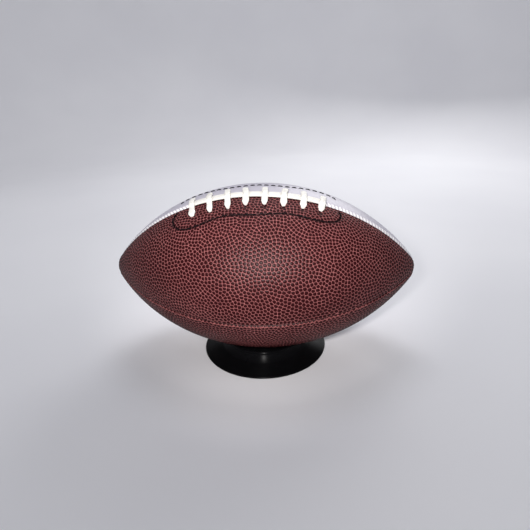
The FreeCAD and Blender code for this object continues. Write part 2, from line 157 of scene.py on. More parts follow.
def arc_at(x):
    """Arc length from the left tip of a place along X, on the crown."""
    return TIP_ARC + (math.pi - TIP_TURN - np.arccos(np.asarray(x) / CROWN_RADIUS)) * CROWN_RADIUS


def smooth(value, low, high):
    t = np.clip((value - low) / (high - low), 0, 1)
    return t * t * (3 - 2 * t)


def wave(points, scale, seed=0):
    """Smooth noise from -1 to 1 at points, with features of a given size."""
    shift = Vector((seed * 17.3, seed * 5.1, seed * 9.7))
    return np.array([noise.noise(Vector(p) / scale + shift) for p in points])


def stitch_path(side, reach=200):
    """The curve that the stitches follow: arc lengths, angles, and its own length."""
    corners = np.array(FRONT_ROW if side > 0 else REAR_ROW) * MM
    steps = np.concatenate([[0], np.cumsum(np.hypot(*np.diff(corners, axis=0).T))])
    fine = np.linspace(0, steps[-1], 40 * len(corners))
    curve = np.stack([np.interp(fine, steps, corners[:, k]) for k in (0, 1)], -1)
    kernel = np.hanning(47)
    kernel /= kernel.sum()
    padded = np.pad(curve, ((23, 23), (0, 0)), mode="reflect", reflect_type="odd")
    curve = np.stack([np.convolve(padded[:, k], kernel, "valid") for k in (0, 1)], -1)
    length = np.concatenate([[0], np.cumsum(np.hypot(*np.diff(curve, axis=0).T))])
    even = np.linspace(0, length[-1], reach)
    x, away = (np.interp(even, length, curve[:, k]) for k in (0, 1))
    along = arc_at(x)
    radius = meridian(along)[1]
    return along, side * away / radius, length[-1]


def cross_places():
    """The crosses of the lace: arc length of each, from the left."""
    return arc_at((np.arange(CROSS_COUNT) - (CROSS_COUNT - 1) / 2) * CROSS_PITCH)


# ------------------------------------------------------------------ meshes
def new_object(name, vertices, faces, material, attributes=None):
    """A smooth-shaded mesh object, with point attributes by name."""
    mesh = bpy.data.meshes.new(name)
    mesh.from_pydata([tuple(v) for v in vertices], [], faces)
    mesh.polygons.foreach_set("use_smooth", [True] * len(mesh.polygons))
    for key, values in (attributes or {}).items():
        layer = mesh.attributes.new(key, "FLOAT", "POINT")
        layer.data.foreach_set("value", np.asarray(values, np.float32))
    mesh.validate()
    mesh.update()
    obj = bpy.data.objects.new(name, mesh)
    bpy.context.scene.collection.objects.link(obj)
    mesh.materials.append(material)
    return obj


def grid_faces(rows, columns, offset=0, flip=False):
    """Quads of a grid of rows x columns vertices."""
    index = np.arange(rows * columns).reshape(rows, columns) + offset
    quads = np.stack([index[:-1, :-1], index[:-1, 1:], index[1:, 1:], index[1:, :-1]], -1)
    quads = quads.reshape(-1, 4)
    if flip:
        quads = quads[:, ::-1]
    return quads.tolist()


def tube(rings, closed_ends=True):
    """Vertices and faces of a skin over rings, an array of rings x points x 3."""
    count, around, _ = rings.shape
    index = np.arange(count * around).reshape(count, around)
    following = np.roll(index, -1, axis=1)
    quads = np.stack([index[:-1], index[1:], following[1:], following[:-1]], -1).reshape(-1, 4)
    vertices = rings.reshape(-1, 3)
    faces = quads.tolist()
    if closed_ends:
        ends = np.stack([rings[0].mean(0), rings[-1].mean(0)])
        first, last = len(vertices), len(vertices) + 1
        vertices = np.concatenate([vertices, ends])
        faces += [[first, a, b] for a, b in zip(index[0], following[0])]
        faces += [[last, b, a] for a, b in zip(index[-1], following[-1])]
    return vertices, faces


def joined(parts):
    """One list of vertices and faces from several."""
    vertices, faces, count = [], [], 0
    for part_vertices, part_faces in parts:
        vertices.append(part_vertices)
        faces += [[i + count for i in face] for face in part_faces]
        count += len(part_vertices)
    return np.concatenate(vertices), faces


# ------------------------------------------------------------------ materials
def new_material(name):
    """A node material with one Principled shader: the material, its tree and the shader."""
    material = bpy.data.materials.new(name)
    material.use_nodes = True
    tree = material.node_tree
    tree.nodes.clear()
    output = tree.nodes.new("ShaderNodeOutputMaterial")
    shader = tree.nodes.new("ShaderNodeBsdfPrincipled")
    tree.links.new(shader.outputs[0], output.inputs["Surface"])
    return material, tree, shader


def add(tree, kind, **settings):
    """A node, with attributes by name and inputs by their label in settings["inputs"]."""
    node = tree.nodes.new(kind)
    for key, value in settings.pop("inputs", {}).items():
        node.inputs[key].default_value = value
    for key, value in settings.items():
        setattr(node, key, value)
    return node


def object_noise(tree, scale, detail=3.0, roughness=0.5):
    """Noise in the object's own coordinates."""
    coordinates = add(tree, "ShaderNodeTexCoord")
    texture = add(
        tree, "ShaderNodeTexNoise", inputs={"Scale": scale, "Detail": detail, "Roughness": roughness}
    )
    tree.links.new(coordinates.outputs["Object"], texture.inputs["Vector"])
    return texture.outputs["Fac"]


def ramp(tree, value, stops):
    """A colour ramp; stops are (position, grey or colour)."""
    node = add(tree, "ShaderNodeValToRGB")
    elements = node.color_ramp.elements
    while len(elements) < len(stops):
        elements.new(0.5)
    for element, (position, colour) in zip(elements, stops):
        element.position = position
        grey = isinstance(colour, (int, float))
        element.color = (colour, colour, colour, 1) if grey else (*colour, 1)
    tree.links.new(value, node.inputs["Fac"])
    return node.outputs["Color"]


def mixed(tree, factor, a, b, blend="MIX"):
    """Mix two colours; each is a socket or a colour, and the factor a socket or a number."""
    node = add(tree, "ShaderNodeMix", data_type="RGBA", blend_type=blend)
    for socket, value in ((node.inputs[0], factor), (node.inputs[6], a), (node.inputs[7], b)):
        if isinstance(value, bpy.types.NodeSocket):
            tree.links.new(value, socket)
        elif isinstance(value, (int, float)):
            socket.default_value = value
        else:
            socket.default_value = (*value, 1)
    return node.outputs[2]


def attribute(tree, name):
    return add(tree, "ShaderNodeAttribute", attribute_name=name).outputs["Fac"]


def bump(tree, shader, height, distance, strength=1.0):
    node = add(tree, "ShaderNodeBump", inputs={"Distance": distance, "Strength": strength})
    tree.links.new(height, node.inputs["Height"])
    tree.links.new(node.outputs["Normal"], shader.inputs["Normal"])


def pebbled_leather():
    """Dark, semi-gloss pebbles in a lighter, rosy net of creases; some seam ridges worn paler; painted
    shade along seams, stitches and lace holes.
    """
    material, tree, shader = new_material("pebbled_leather_finish")
    patches = object_noise(tree, 45.0, 3.0)
    fine = object_noise(tree, 900.0, 4.0)
    edge = ramp(tree, attribute(tree, "pebble_edge"), [(0.0, 0.0), (0.05, 0.0), (0.20, 1.0)])
    ground = ramp(tree, patches, [(0.25, (0.250, 0.082, 0.082)), (0.75, (0.325, 0.116, 0.114))])
    top = ramp(tree, fine, [(0.3, (0.014, 0.0006, 0.0013)), (0.7, (0.027, 0.0016, 0.0027))])
    colour = mixed(tree, edge, ground, top)
    wear_and_ridge_highlight = ramp(tree, attribute(tree, "wear_and_ridge_highlight"), [(0.0, 0.0), (1.0, 0.6)])
    colour = mixed(tree, wear_and_ridge_highlight, colour, (0.36, 0.125, 0.12))
    # painted shade: near black in the slit of the seam, in the stitch groove and round the lace holes
    seam = ramp(tree, attribute(tree, "shade"), [(0.0, 0.0), (1.0, 0.97)])
    colour = mixed(tree, seam, colour, (0.006, 0.002, 0.003))
    tree.links.new(colour, shader.inputs["Base Color"])
    gloss = ramp(tree, edge, [(0.0, 0.48), (1.0, 0.44)])
    tree.links.new(gloss, shader.inputs["Roughness"])
    shader.inputs["Specular IOR Level"].default_value = 0.11
    bump(tree, shader, fine, 0.05 * MM, 0.5)
    return material


def white_leather():
    """Smooth coated leather, off-white, with painted shade in the creases of its pleats and beside its
    seams, and a painted highlight on the pleat ridges.
    """
    material, tree, shader = new_material("white_leather_finish")
    patches = object_noise(tree, 18.0, 4.0)
    grain = object_noise(tree, 700.0, 5.0, 0.6)
    base = ramp(tree, patches, [(0.3, (0.40, 0.38, 0.445)), (0.7, (0.46, 0.44, 0.50))])
    # painted highlight: the ridges of the pleats beside the seams are mixed towards bright white
    painted_ridge_highlight = ramp(tree, attribute(tree, "wear_and_ridge_highlight"), [(0.0, 0.0), (1.0, 1.0)])
    base = mixed(tree, painted_ridge_highlight, base, (0.80, 0.79, 0.80))
    # painted shade: greyer in the creases of the pleats, in the slit of the seam and in the stitch dents
    shade = ramp(tree, attribute(tree, "shade"), [(0.0, 0.0), (1.0, 0.8)])
    colour = mixed(tree, shade, base, (0.26, 0.235, 0.27))
    tree.links.new(colour, shader.inputs["Base Color"])
    gloss = ramp(tree, patches, [(0.3, 0.36), (0.7, 0.46)])
    tree.links.new(gloss, shader.inputs["Roughness"])
    shader.inputs["Coat Weight"].default_value = 0.15
    shader.inputs["Coat Roughness"].default_value = 0.3
    bump(tree, shader, grain, 0.06 * MM, 0.35)
    return material


def lace_vinyl():
    """Soft white vinyl with a faint lengthwise grain, and painted shade where it dives into its holes
    and where the crosses press it down.
    """
    material, tree, shader = new_material("lace_vinyl_finish")
    patches = object_noise(tree, 160.0, 3.0)
    grain = object_noise(tree, 1100.0, 4.0, 0.6)
    base = ramp(tree, patches, [(0.3, (0.64, 0.625, 0.585)), (0.7, (0.70, 0.69, 0.655))])
    # painted shade, mixed towards a dull brown
    shade = ramp(tree, attribute(tree, "shade"), [(0.0, 0.0), (1.0, 0.85)])
    colour = mixed(tree, shade, base, (0.20, 0.13, 0.12))
    tree.links.new(colour, shader.inputs["Base Color"])
    gloss = ramp(tree, grain, [(0.3, 0.42), (0.7, 0.56)])
    tree.links.new(gloss, shader.inputs["Roughness"])
    shader.inputs["Subsurface Weight"].default_value = 0.08
    shader.inputs["Subsurface Radius"].default_value = (1.0, 0.9, 0.8)
    shader.inputs["Subsurface Scale"].default_value = 0.6 * MM
    bump(tree, shader, grain, 0.05 * MM, 0.4)
    return material


def thread(name, dark, light):
    """Twisted thread: fine slanting bands."""
    material, tree, shader = new_material(name)
    coordinates = add(tree, "ShaderNodeTexCoord")
    bands = add(tree, "ShaderNodeTexWave", inputs={"Scale": 2600.0, "Distortion": 1.5, "Detail": 2.0})
    tree.links.new(coordinates.outputs["Object"], bands.inputs["Vector"])
    colour = ramp(tree, bands.outputs["Fac"], [(0.2, dark), (0.8, light)])
    tree.links.new(colour, shader.inputs["Base Color"])
    gloss = ramp(tree, bands.outputs["Fac"], [(0.0, 0.5), (1.0, 0.65)])
    tree.links.new(gloss, shader.inputs["Roughness"])
    shader.inputs["Specular IOR Level"].default_value = 0.06
    bump(tree, shader, bands.outputs["Fac"], 0.08 * MM, 0.6)
    return material


def gloss_black():
    """Moulded black plastic with a trace of dust: its sheen runs up and down the ring."""
    material, tree, shader = new_material("stand_plastic_finish")
    haze = object_noise(tree, 60.0, 4.0)
    dust = object_noise(tree, 1500.0, 3.0, 0.7)
    colour = ramp(tree, dust, [(0.55, (0.003, 0.003, 0.0035)), (0.85, (0.012, 0.012, 0.014))])
    tree.links.new(colour, shader.inputs["Base Color"])
    gloss = ramp(tree, haze, [(0.3, 0.27), (0.7, 0.36)])
    tree.links.new(gloss, shader.inputs["Roughness"])
    shader.inputs["Specular IOR Level"].default_value = 0.06
    shader.inputs["Anisotropic"].default_value = 0.9
    shader.inputs["Anisotropic Rotation"].default_value = 0.25
    bump(tree, shader, haze, 0.03 * MM, 0.25)
    return material


def woven(name, dark, light):
    """A plain woven backing cloth."""
    material, tree, shader = new_material(name)
    coordinates = add(tree, "ShaderNodeTexCoord")
    checks = add(tree, "ShaderNodeTexChecker", inputs={"Scale": 900.0})
    tree.links.new(coordinates.outputs["Object"], checks.inputs["Vector"])
    fuzz = object_noise(tree, 1400.0, 3.0)
    cloth = ramp(tree, fuzz, [(0.3, dark), (0.7, light)])
    colour = mixed(tree, 0.25, cloth, checks.outputs["Color"], "MULTIPLY")
    tree.links.new(colour, shader.inputs["Base Color"])
    shader.inputs["Roughness"].default_value = 0.9
    bump(tree, shader, checks.outputs["Fac"], 0.1 * MM, 0.5)
    return material


def mottled(name, dark, light, rough, scale=400.0):
    """Rubber or split leather: a mottled colour over a fine relief."""
    material, tree, shader = new_material(name)
    mottle = object_noise(tree, scale, 4.0, 0.6)
    tree.links.new(ramp(tree, mottle, [(0.3, dark), (0.7, light)]), shader.inputs["Base Color"])
    gloss = ramp(tree, mottle, [(0.0, rough - 0.08), (1.0, rough + 0.08)])
    tree.links.new(gloss, shader.inputs["Roughness"])
    bump(tree, shader, mottle, 0.08 * MM, 0.5)
    return material


def finish_hidden_nodes(materials):
    """The inner nodes keep their CAD shape, and take their slot's finish."""
    for entry in frame["record"]["subparts"]:
        obj = NODES[entry["node"]]
        obj.data.materials.clear()
        obj.data.materials.append(materials[entry["material_slot"]])


# ------------------------------------------------------------------ covers
def pebble_centres(start, rng):
    """Evenly spaced points on a panel, pushed apart until they lie like the cells of a hide."""
    along = np.linspace(0, MERIDIAN, 800)
    radius = np.maximum(meridian(along)[1], 0)
    share = np.cumsum(radius)
    area = float(np.mean(radius)) * MERIDIAN * math.pi / 2
    count = int(area / (0.866 * PEBBLE_PITCH**2))
    s = np.interp(rng.random(count) * share[-1], share, along)
    angle = start + rng.random(count) * math.pi / 2
    reach = 1.32 * PEBBLE_PITCH
    for _ in range(PEBBLE_ROUNDS):
        points = on_ball(s, angle)
        tree = kdtree.KDTree(count)
        for index, point in enumerate(points):
            tree.insert(point, index)
        tree.balance()
        push = np.zeros((count, 3))
        for index, point in enumerate(points):
            for other, neighbour, gap in tree.find_n(point, PEBBLE_NEIGHBOURS):
                if neighbour != index and gap < reach:
                    away = (point - np.array(other)) / max(gap, 1e-6)
                    push[index] += away * (reach - gap)
        points = points + 0.28 * push
        s = np.clip(arc_of(points), 0.001, MERIDIAN - 0.001)
        angle = np.arctan2(-points[:, 1], points[:, 2])
        turned = (angle - start + math.pi / 4) % (2 * math.pi) - math.pi / 4
        angle = start + np.clip(turned, 0, math.pi / 2)
    return on_ball(s, angle)


def arc_of(points):
    """Arc length from the left tip of points near the surface."""
    radius = np.hypot(points[:, 1], points[:, 2])
    turn = np.arctan2(radius + CROWN_DROP, points[:, 0])
    left = math.pi - np.arctan2(radius, points[:, 0] + TIP_CENTRE)
    right = np.arctan2(radius, points[:, 0] - TIP_CENTRE)
    arc = TIP_ARC + (math.pi - TIP_TURN - turn) * CROWN_RADIUS
    arc = np.where(turn > math.pi - TIP_TURN, left * TIP_RADIUS, arc)
    return np.where(turn < TIP_TURN, MERIDIAN - right * TIP_RADIUS, arc)


def nearest(points, targets, count=1):
    """Distances from each point to its nearest targets."""
    tree = kdtree.KDTree(len(targets))
    for index, target in enumerate(targets):
        tree.insert(target, index)
    tree.balance()
    gaps = np.array([[gap for _, _, gap in tree.find_n(point, count)] for point in points])
    return gaps[:, 0] if count == 1 else gaps


def column_angles(spacing, edge_spacing):
    """Angles across a panel: evenly spaced, and closer together beside its seams."""
    reach = MAX_RADIUS * math.pi / 4
    away = np.linspace(0, reach, 2000)
    step = edge_spacing + (spacing - edge_spacing) * smooth(away, 3.5 * MM, 8 * MM)
    columns = np.concatenate([[0], np.cumsum((away[1] - away[0]) / step[1:])])
    half = np.interp(np.linspace(0, columns[-1], round(columns[-1]) + 1), columns, away)
    return np.concatenate([half, 2 * reach - half[-2::-1]]) / MAX_RADIUS


def seam_roll(along, away, pebbled):
    """A panel's rolled edge: its fall below the surface, its painted shade, and the ridges between its
    tucks, worn paler on the pebbled panels and given a painted highlight on the white ones.

    The stitches of the seam draw the edge in, so that it stands up in small pleats between them.
    """
    slant = 0.35 * away if pebbled else 0.55 * away
    tuck = (0.5 + 0.5 * np.cos(2 * math.pi * (along + slant) / SEAM_STITCH)) ** 3
    width = (2.0 if pebbled else 4.2) * MM
    depth = (1.1 if pebbled else 1.8) * MM
    t = np.clip(1 - away / width, 0, 1)
    reach = np.exp(-((away / (1.1 * MM if pebbled else 2.9 * MM)) ** 2))
    fall = depth * t**2 + (0.25 if pebbled else 0.75) * MM * tuck * reach
    # painted shade in the slit of the seam
    dark = np.clip(1 - away / (0.8 * MM), 0, 1) ** 1.5
    if pebbled:
        return fall, dark, (1 - tuck) ** 4 * np.exp(-(((away - 1.3 * MM) / (0.7 * MM)) ** 2))
    # white panels: painted shade in the slit and in the creases between pleats, and a painted highlight
    # on the pleat ridges
    return fall, np.maximum(dark, tuck**1.5 * reach), (1 - tuck) * (1 - smooth(away, 3.0 * MM, 4.6 * MM))


def shell_faces(rows, columns, inner_columns):
    """Faces of a closed shell: an outer grid, an inner grid, and the four edges between them."""
    faces = grid_faces(rows, columns)
    faces += grid_faces(rows, inner_columns, rows * columns, flip=True)
    left = np.arange(rows) * columns
    inner_left = rows * columns + np.arange(rows) * inner_columns
    right, inner_right = left + columns - 1, inner_left + inner_columns - 1
    for a, b, c, d in zip(left[:-1], left[1:], inner_left[1:], inner_left[:-1]):
        faces.append([a, b, c, d])
    for a, b, c, d in zip(right[:-1], right[1:], inner_right[1:], inner_right[:-1]):
        faces.append([d, c, b, a])
    for row in (0, rows - 1):
        outer_row = list(range(row * columns, (row + 1) * columns))
        start_inner = rows * columns + row * inner_columns
        inner_row = list(range(start_inner, start_inner + inner_columns))
        loop = outer_row + inner_row[::-1]
        faces.append(loop if row else loop[::-1])
    return faces


def laced_marks(flat, side, pebbled, seed):
    """What the sewing leaves beside the slit: the groove of the stitches and the lace's holes.

    Gives the distance to the stitches, how far the surface falls, and the greater of two painted shades:
    in the stitch groove and round the lace's holes.
    """
    path_s, path_angle, _ = stitch_path(side, 420)
    path_angle = path_angle % (2 * math.pi) if side < 0 else path_angle
    gap = nearest(flat, on_ball(path_s, path_angle))
    rough = 0.85 + 0.45 * wave(flat, 4.5 * MM, seed)
    groove = 0.60 * MM * np.exp(-((gap / (1.0 * MM)) ** 2))
    # painted shade in the stitch groove, uneven along it
    deep = np.exp(-((gap / (1.25 * MM if pebbled else 0.7 * MM)) ** 2))
    groove_shade = np.clip((1.0 if pebbled else 0.3) * deep * rough, 0, 1)
    ends = [shifts[0 if side > 0 else 1] * MM for shifts in CROSS_SHIFTS]
    hole_angle = np.full(CROSS_COUNT, side * CROSS_HALF_SPAN / MAX_RADIUS)
    to_hole = nearest(flat, on_ball(cross_places() + ends, hole_angle))
    dimple = 1.1 * MM * np.exp(-((to_hole / (2.0 * MM)) ** 2))
    # painted shade round the lace's holes
    hole_shade = 0.8 * np.exp(-((to_hole / (1.9 * MM)) ** 2))
    return gap, groove, dimple, np.maximum(groove_shade, hole_shade)


def pebble_relief(flat, start, away, gap, seed):
    """Domed pebbles, flattened beside seams and stitches: distance from a crease, and height."""
    centres = pebble_centres(start, np.random.default_rng(seed))
    gaps = nearest(flat, centres, 2) / PEBBLE_PITCH
    edge = gaps[:, 1] - gaps[:, 0]
    edge = np.minimum(edge, 2.4 * np.clip(0.66 - gaps[:, 0], 0, 1))
    dome = 1 - (1 - np.clip(edge / 0.75, 0, 1)) ** 2
    clear = smooth(away, 0.2 * MM, 1.8 * MM) * smooth(gap, 0.3 * MM, 1.1 * MM)
    return edge, PEBBLE_HEIGHT * (dome * clear - 0.6)


def cover_panel(name, start, pebbled, material, seed, coarseness):
    """One panel of the cover as a closed leather shell with everything that shows on it."""
    rows = round(MERIDIAN / (0.48 * MM * coarseness))
    s = np.linspace(0, MERIDIAN, rows)
    spacing = (0.5, 0.3) if pebbled else (1.7, 0.45)
    across = column_angles(*(value * MM * coarseness for value in spacing))
    along, angle = (grid.ravel() for grid in np.meshgrid(s, start + across, indexing="ij"))
    radius = np.maximum(meridian(along)[1], 0)
    flat = on_ball(along, angle)
    from_start = (angle - start) * radius
    from_end = (start + math.pi / 2 - angle) * radius
    away = np.minimum(from_start, from_end)
    taper = smooth(radius, 4 * MM, 16 * MM)
    roll, dark, wear_and_ridge_highlight = seam_roll(along, away, pebbled)
    height = -roll * (0.35 + 0.65 * taper)
    # painted shade along the seam, fading towards the tips
    shade = 0.75 * dark * taper
    if pebbled:
        # only the seam between the two pebbled panels is worn pale, and only in places
        wear_and_ridge_highlight = wear_and_ridge_highlight * (from_end < from_start if name == "cover_front_upper" else from_start < from_end)
        wear_and_ridge_highlight = wear_and_ridge_highlight * np.clip(0.55 + 1.1 * wave(flat, 4 * MM, seed), 0, 1)
    # wear on the pebbled panels' seam ridges; a painted highlight on the white panels' pleat ridges
    wear_and_ridge_highlight = wear_and_ridge_highlight * taper

    gap = np.full(len(flat), 1.0)
    laced = {"cover_front_upper": 1, "cover_rear_upper": -1}.get(name, 0)
    if laced:
        gap, groove, dimple, marks = laced_marks(flat, laced, pebbled, seed)
        height = height - groove - dimple
        # painted shade of the stitch groove and lace holes
        shade = np.maximum(shade, marks)

    edge = np.ones(len(flat))
    if pebbled:
        edge, relief = pebble_relief(flat, start, away, gap, seed)
        height += relief
    else:
        folds = wave(np.stack([along, away * 0.12, angle * 0], -1), 5.5 * MM, seed)
        ripple = wave(flat, 28 * MM, seed + 1)
        height += 0.20 * MM * folds * np.exp(-away / (9 * MM)) * taper + 0.12 * MM * ripple * taper
    if name == "cover_rear_lower":
        middle = on_ball([MERIDIAN / 2], [VALVE_AT])[0]
        rim = np.linalg.norm(flat - middle, axis=1)
        height += 0.25 * MM * np.exp(-(((rim - VALVE_HOLE - 1.2 * MM) / (0.8 * MM)) ** 2))
        inside = rim < VALVE_HOLE + 0.05 * MM
        height = np.where(inside, -1.9 * MM, height)
        # painted shade: black inside the valve hole, half dark round its edge
        beside = 0.5 * (np.abs(rim - VALVE_HOLE) < 0.4 * MM)
        shade = np.where(inside, 1.0, np.maximum(shade, beside))

    inner_across = np.linspace(0, math.pi / 2, 9)
    inner_s, inner_angle = (g.ravel() for g in np.meshgrid(s, start + inner_across, indexing="ij"))
    inner = on_ball(inner_s, inner_angle, -COVER_THICKNESS)
    inner_ones = np.ones(len(inner))
    obj = new_object(
        name.replace("cover", "leather"),
        np.concatenate([to_row(on_ball(along, angle, height)), to_row(inner)]),
        shell_faces(rows, len(across), len(inner_across)),
        material,
        {
            "pebble_edge": np.concatenate([edge, inner_ones]),
            "wear_and_ridge_highlight": np.concatenate([wear_and_ridge_highlight, 0 * inner_ones]),
            # painted shade: the inner faces are half shaded
            "shade": np.concatenate([np.clip(shade, 0, 1), 0.5 * inner_ones]),
        },
    )
    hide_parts(name)
    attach(obj, "ball")


# ------------------------------------------------------------------ lace
def strap(centre, side, up, width, thickness):
    """A strap's skin: rings along centre, with unit vectors across and up, and sizes at each.

    Its section lies between an ellipse and a rectangle.
    """
    squareness = 0.62
    turns = np.linspace(0, 2 * math.pi, LACE_AROUND, endpoint=False)
    across, rise = (np.sign(v) * np.abs(v) ** squareness for v in (np.cos(turns), np.sin(turns)))
    rings = (
        centre[:, None]
        + side[:, None] * (across[None, :, None] * width[:, None, None] / 2)
        + up[:, None] * (rise[None, :, None] * thickness[:, None, None] / 2)
    )
    return tube(rings)


def unit(vectors):
    """The same directions, at length 1."""
    return vectors / np.maximum(np.linalg.norm(vectors, axis=-1, keepdims=True), 1e-12)


def lace_cross(index, place, material, rng):
    """One pass over the seam: over the long run, down onto the panels and into its two holes."""
    extra, end_width = (value * MM for value in CROSS_ENDS[index])
    front_reach, rear_reach = CROSS_HALF_SPAN + extra, CROSS_HALF_SPAN + rng.uniform(-0.3, 0.9) * MM
    a = np.linspace(-rear_reach, front_reach, 84)
    to_end = np.where(a > 0, front_reach - a, rear_reach + a)
    lift = (LONG_RUN_THICKNESS - 0.1 * MM) * (1 - smooth(np.abs(a), 2.6 * MM, 7.5 * MM))
    dive = 1 - smooth(to_end, 0, 3.0 * MM)
    height = LACE_THICKNESS / 2 + 0.05 * MM + lift - dive**1.8 * 3.0 * MM
    bow = rng.uniform(-0.3, 0.3) * MM
    shifts = np.where(a > 0, *CROSS_SHIFTS[index]) * MM
    shift = shifts * np.abs(a) / CROSS_HALF_SPAN + bow * (1 - (a / CROSS_HALF_SPAN) ** 2)
    centre = on_ball(place + shift, a / MAX_RADIUS, height)
    along = unit(np.gradient(centre, axis=0))
    outward = unit(on_ball(place + shift, a / MAX_RADIUS, height + MM) - centre)
    side = unit(np.cross(along, outward))
    up = unit(np.cross(side, along))
    swell = np.exp(-(((to_end - 4.2 * MM) / (3.2 * MM)) ** 2)) * np.where(a > 0, 1, 0.5)
    drape = 0.5 * MM * np.exp(-(((np.abs(a) - 3.4 * MM) / (1.5 * MM)) ** 2))
    narrowing = 0.30 + 0.70 * np.sqrt(smooth(to_end, 0.0, 3.4 * MM))
    width = (LACE_WIDTH + (end_width - LACE_WIDTH) * swell + drape) * narrowing
    thickness = LACE_THICKNESS * (0.88 + 0.12 * smooth(to_end, 0, 3 * MM))
    vertices, faces = strap(centre, side, up, width, thickness)
    vertices = vertices + 0.06 * MM * wave(vertices, 2.5 * MM, index)[:, None]
    # painted shade where the strap dives into its holes
    sunk = np.concatenate([np.repeat(dive, LACE_AROUND), [1, 1]])
    obj = new_object(
        f"lace_strap_{index + 1}", to_row(vertices), faces, material, {"shade": sunk**2 * 0.6}
    )
    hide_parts(f"lace_cross_{index + 1}")
    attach(obj, "ball")


def lace_long_run(material):
    """The stretch along the seam, pinched down a little under each cross."""
    steps = 260
    x = np.linspace(-LONG_RUN_REACH, LONG_RUN_REACH, steps)
    s = arc_at(x)
    to_cross = np.min(np.abs(s[:, None] - cross_places()[None]), axis=1)
    press = np.exp(-((to_cross / (2.8 * MM)) ** 2))
    to_end = arc_at(LONG_RUN_REACH) - arc_at(0) - np.abs(s - arc_at(0))
    tip = 1 - smooth(to_end, 0, 2.2 * MM)
    height = LONG_RUN_THICKNESS / 2 + 0.35 * MM * (1 - press) - 0.8 * MM * tip
    angle = (0.25 * MM * np.sin(x / (11 * MM)) - LONG_RUN_SET_BACK) / MAX_RADIUS
    centre = on_ball(s, angle, height)
    along = unit(np.gradient(centre, axis=0))
    outward = unit(on_ball(s, angle, height + MM) - centre)
    side = unit(np.cross(along, outward))
    up = unit(np.cross(side, along))
    width = LONG_RUN_WIDTH * (1 + 0.05 * press) * (1 - 0.45 * tip)
    thickness = LONG_RUN_THICKNESS * (1 - 0.12 * press) * (1 - 0.5 * tip)
    vertices, faces = strap(centre, side, up, width, thickness)
    # painted shade where each cross presses the band down, and on its end caps
    shade = np.concatenate([np.repeat(0.25 * press, LACE_AROUND), [0.5, 0.5]])
    obj = new_object("lace_band", to_row(vertices), faces, material, {"shade": shade})
    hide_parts("lace_long_run")
    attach(obj, "ball")


# ------------------------------------------------------------------ threads
def facing_stitches(name, side, material):
    """Short, plump stitches in the groove, each going down into the leather at both ends."""
    path_points = 900
    path_s, path_angle, length = stitch_path(side, path_points)
    distance = np.linspace(0, length, path_points)
    count = int(length / STITCH_PITCH)
    turns = np.linspace(0, 2 * math.pi, 10, endpoint=False)
    parts = []
    for index in range(count):
        middle = (index + 0.5) * length / count
        t = np.linspace(-1, 1, 15)
        at = middle + t * STITCH_LENGTH / 2
        s = np.interp(at, distance, path_s)
        angle = np.interp(at, distance, path_angle)
        height = -0.40 * MM + THREAD_RADIUS * 1.15 * (1 - t**4) - 0.45 * MM * np.abs(t) ** 6
        centre = on_ball(s, angle, height)
        along = unit(np.gradient(centre, axis=0))
        outward = unit(on_ball(s, angle, height + MM) - centre)
        across = unit(np.cross(along, outward))
        up = np.cross(across, along)
        girth = THREAD_RADIUS * (1 - 0.25 * np.abs(t) ** 6)
        rings = (
            centre[:, None]
            + across[:, None] * (np.cos(turns)[None, :, None] * girth[:, None, None])
            + up[:, None] * (np.sin(turns)[None, :, None] * girth[:, None, None])
        )
        parts.append(tube(rings))
    vertices, faces = joined(parts)
    obj = new_object(name.replace("facing_stitches", "stitching"), to_row(vertices), faces, material)
    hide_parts(name)
    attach(obj, "ball")


# ------------------------------------------------------------------ valve
def valve_mouth(material):
    """The round rubber mouth of the valve in its hole: a rolled lip round a dished plug."""
    outline = [(0.0, -1.3), (0.35, -1.15), (0.6, -0.75), (1.5, -0.62), (1.85, -0.72), (2.0, -0.62)]
    outline += [(2.3, -0.1), (2.7, 0.1), (3.2, 0.15), (3.5, 0.0), (3.55, -0.6), (3.55, -1.8)]
    middle = MERIDIAN / 2
    radius, height = (np.array(column) * MM for column in zip(*outline))
    fine = np.linspace(0, len(outline) - 1, 60)
    radius = np.interp(fine, range(len(outline)), radius)
    height = np.interp(fine, range(len(outline)), height)
    around = 48
    turns = np.linspace(0, -2 * math.pi, around, endpoint=False)
    rings = on_ball(
        middle + radius[:, None] * np.cos(turns)[None],
        VALVE_AT + radius[:, None] * np.sin(turns)[None] / MAX_RADIUS,
        np.repeat(height[:, None], around, axis=1),
    )
    vertices, faces = tube(rings)
    obj = new_object("valve_mouth", to_row(vertices), faces, material)
    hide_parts("valve_housing", "valve_core")
    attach(obj, "ball")


# ------------------------------------------------------------------ stand
# in millimetres: radii and heights of the ring's outline, and the radii of its arcs
STAND = {
    "well": 33.6, "foot": 60.1, "foot_edge": 0.95, "foot_height": 1.7, "flare": 110.0,
    "crease": 42.8, "crease_height": 4.2, "neck_arc": 12.0, "neck": 37.4, "neck_height": 10.0,
    "lip_height": 11.3, "lip": 1.7, "lip_inner": 34.2, "groove_in": 38.0, "groove_out": 56.0,
    "groove": 1.0, "web_top": 4.0, "web_foot": 2.0,
}


def bulge(start, end, radius, centre_on_left, steps):
    """Points of the short arc from start to end, without its end."""
    start, end = np.array(start), np.array(end)
    half = np.linalg.norm(end - start) / 2
    along = (end - start) / (2 * half)
    away = math.sqrt(radius * radius - half * half) * (1 if centre_on_left else -1)
    centre = (start + end) / 2 + np.array([-along[1], along[0]]) * away
    a, b = (math.atan2(*(p - centre)[::-1]) for p in (start, end))
    if centre_on_left and b < a:
        b += 2 * math.pi
    if not centre_on_left and b > a:
        b -= 2 * math.pi
    turns = np.linspace(a, b, steps, endpoint=False)
    return [tuple(centre + radius * np.array([math.cos(t), math.sin(t)])) for t in turns]


def straight(start, end, steps):
    """Points of the line from start to end, without its end."""
    return [tuple(p) for p in np.linspace(start, end, steps, endpoint=False)]


